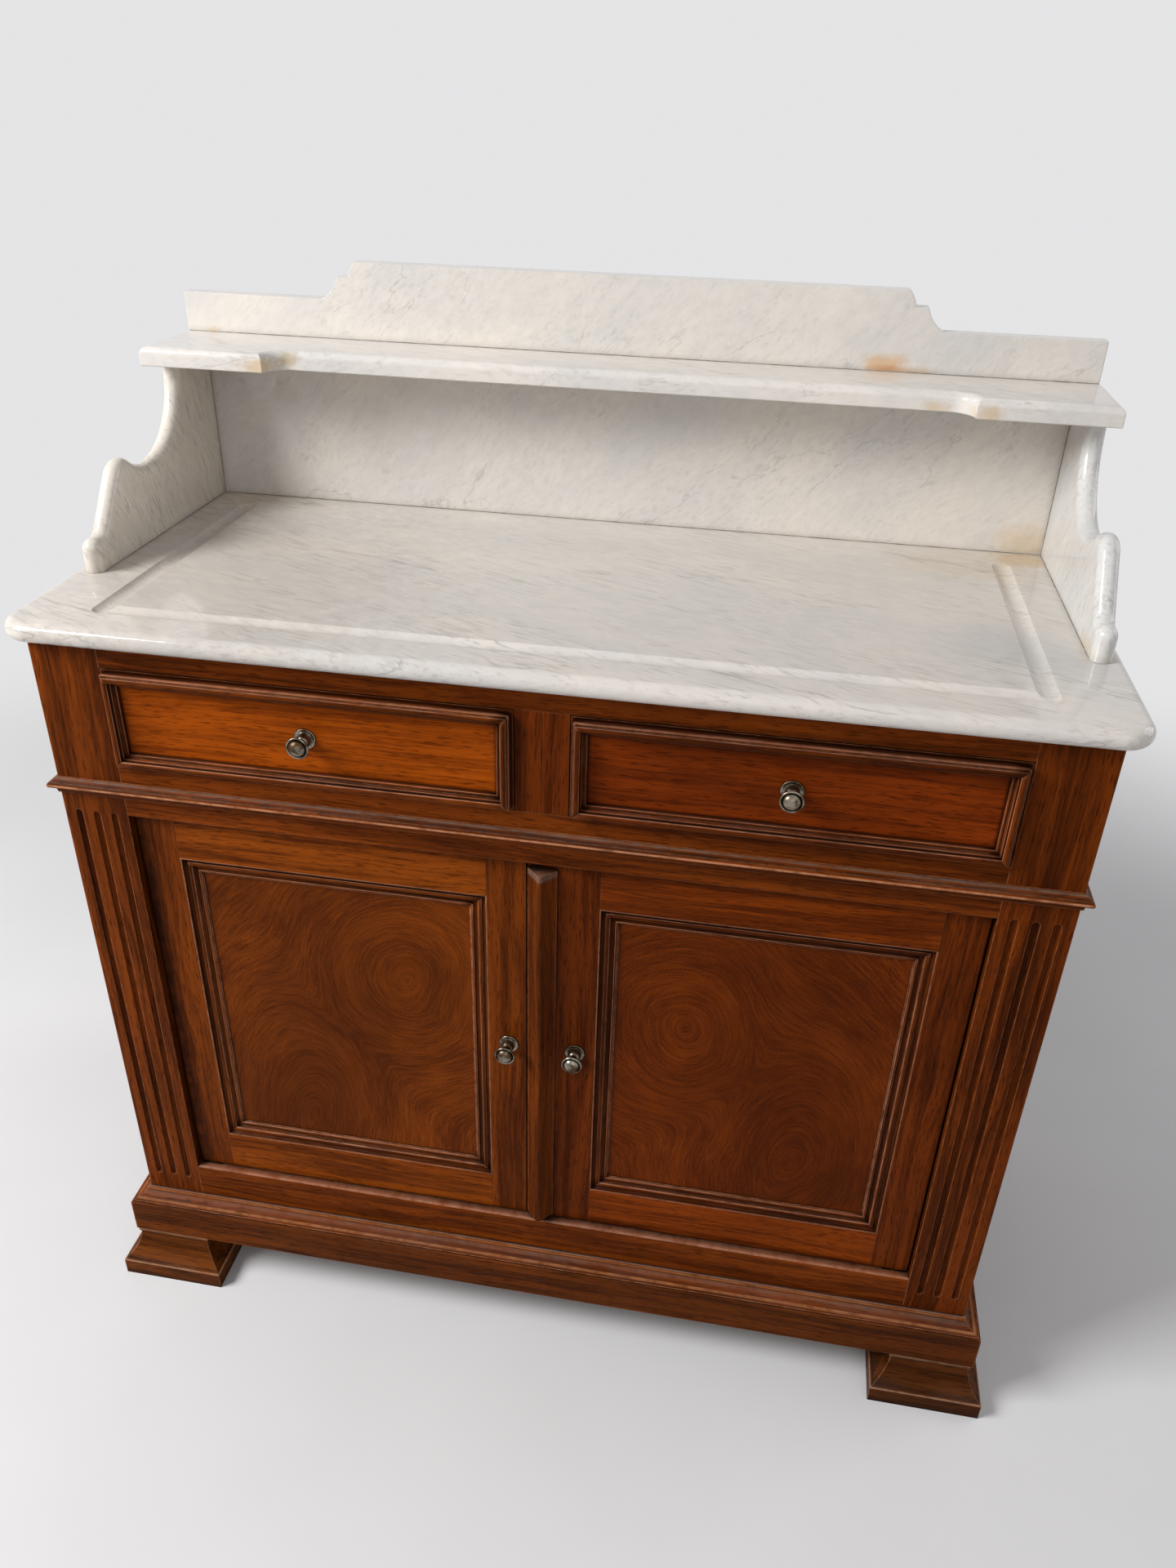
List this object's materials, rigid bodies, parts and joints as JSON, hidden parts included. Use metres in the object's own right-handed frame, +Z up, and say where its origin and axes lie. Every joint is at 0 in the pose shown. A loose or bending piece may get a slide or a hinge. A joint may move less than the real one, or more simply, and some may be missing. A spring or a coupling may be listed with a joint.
{
  "type": "washstand",
  "caption": "Wooden washstand cabinet with drawers over panelled doors, fluted posts, moulded feet and a marble top with scrolled brackets, shelf and stepped back.",
  "frame": {"origin": "on the floor in the middle of the footprint", "axes": "+X to the viewer's right across the front, +Y to the back, +Z up"},
  "size_m": [1.07, 0.48, 1.166],
  "materials": {
    "marble": "polished white marble with grey veins",
    "dowel_iron": "plain iron dowels",
    "polished_wood": "reddish brown french-polished wood",
    "figured_veneer": "figured veneer, french polished",
    "inner_wood": "bare pine-like wood",
    "aged_brass": "dark aged brass",
    "pivot_brass": "plain brass"
  },
  "bodies": {
    "cabinet": {"marble_top": "marble", "marble_back": "marble", "marble_bracket_left": "marble", "marble_bracket_right": "marble", "marble_shelf": "marble", "marble_dowels": "dowel_iron", "front_post_left": "polished_wood", "front_post_right": "polished_wood", "rear_posts": "polished_wood", "back_rails": "inner_wood", "side_rails": "polished_wood", "side_panels": "polished_wood", "top_rail": "polished_wood", "drawer_divider": "polished_wood", "mid_rail": "polished_wood", "belt_moulding": "polished_wood", "bottom_rail": "polished_wood", "base_moulding": "polished_wood", "plinth_front": "polished_wood", "plinth_returns": "polished_wood", "front_foot_left": "polished_wood", "front_foot_right": "polished_wood", "rear_foot_left": "polished_wood", "rear_foot_right": "polished_wood", "cupboard_floor": "inner_wood", "back_boards": "inner_wood", "cupboard_shelf": "inner_wood", "battens": "inner_wood", "drawer_runners": "inner_wood", "drawer_guides": "inner_wood", "glue_blocks": "inner_wood", "pivot_pins": "pivot_brass"},
    "left_drawer": {"left_drawer_front": "polished_wood", "left_drawer_moulding": "polished_wood", "left_drawer_box": "inner_wood", "left_drawer_bottom": "inner_wood", "left_drawer_knob": "aged_brass", "left_drawer_rose": "aged_brass"},
    "right_drawer": {"right_drawer_front": "polished_wood", "right_drawer_moulding": "polished_wood", "right_drawer_box": "inner_wood", "right_drawer_bottom": "inner_wood", "right_drawer_knob": "aged_brass", "right_drawer_rose": "aged_brass"},
    "left_door": {"left_door_stiles": "polished_wood", "left_door_rails": "polished_wood", "left_door_panel": "figured_veneer", "left_door_moulding": "polished_wood", "left_door_knob": "aged_brass", "left_door_rose": "aged_brass", "left_door_bushes": "pivot_brass"},
    "right_door": {"right_door_stiles": "polished_wood", "right_door_rails": "polished_wood", "right_door_panel": "figured_veneer", "right_door_moulding": "polished_wood", "right_door_knob": "aged_brass", "right_door_rose": "aged_brass", "right_door_bushes": "pivot_brass", "astragal": "polished_wood"}
  },
  "joints": [
    {"name": "left_drawer_slide", "type": "slide", "parent": "cabinet", "child": "left_drawer", "axis": [0, -1, 0], "range_m": [0, 0.3]},
    {"name": "right_drawer_slide", "type": "slide", "parent": "cabinet", "child": "right_drawer", "axis": [0, -1, 0], "range_m": [0, 0.3]},
    {"name": "left_door_hinge", "type": "hinge", "parent": "cabinet", "child": "left_door", "pos_m": [-0.415, -0.186, 0.43], "axis": [0, 0, -1], "range_deg": [0, 110]},
    {"name": "right_door_hinge", "type": "hinge", "parent": "cabinet", "child": "right_door", "pos_m": [0.415, -0.186, 0.43], "axis": [0, 0, 1], "range_deg": [0, 110]}
  ]
}
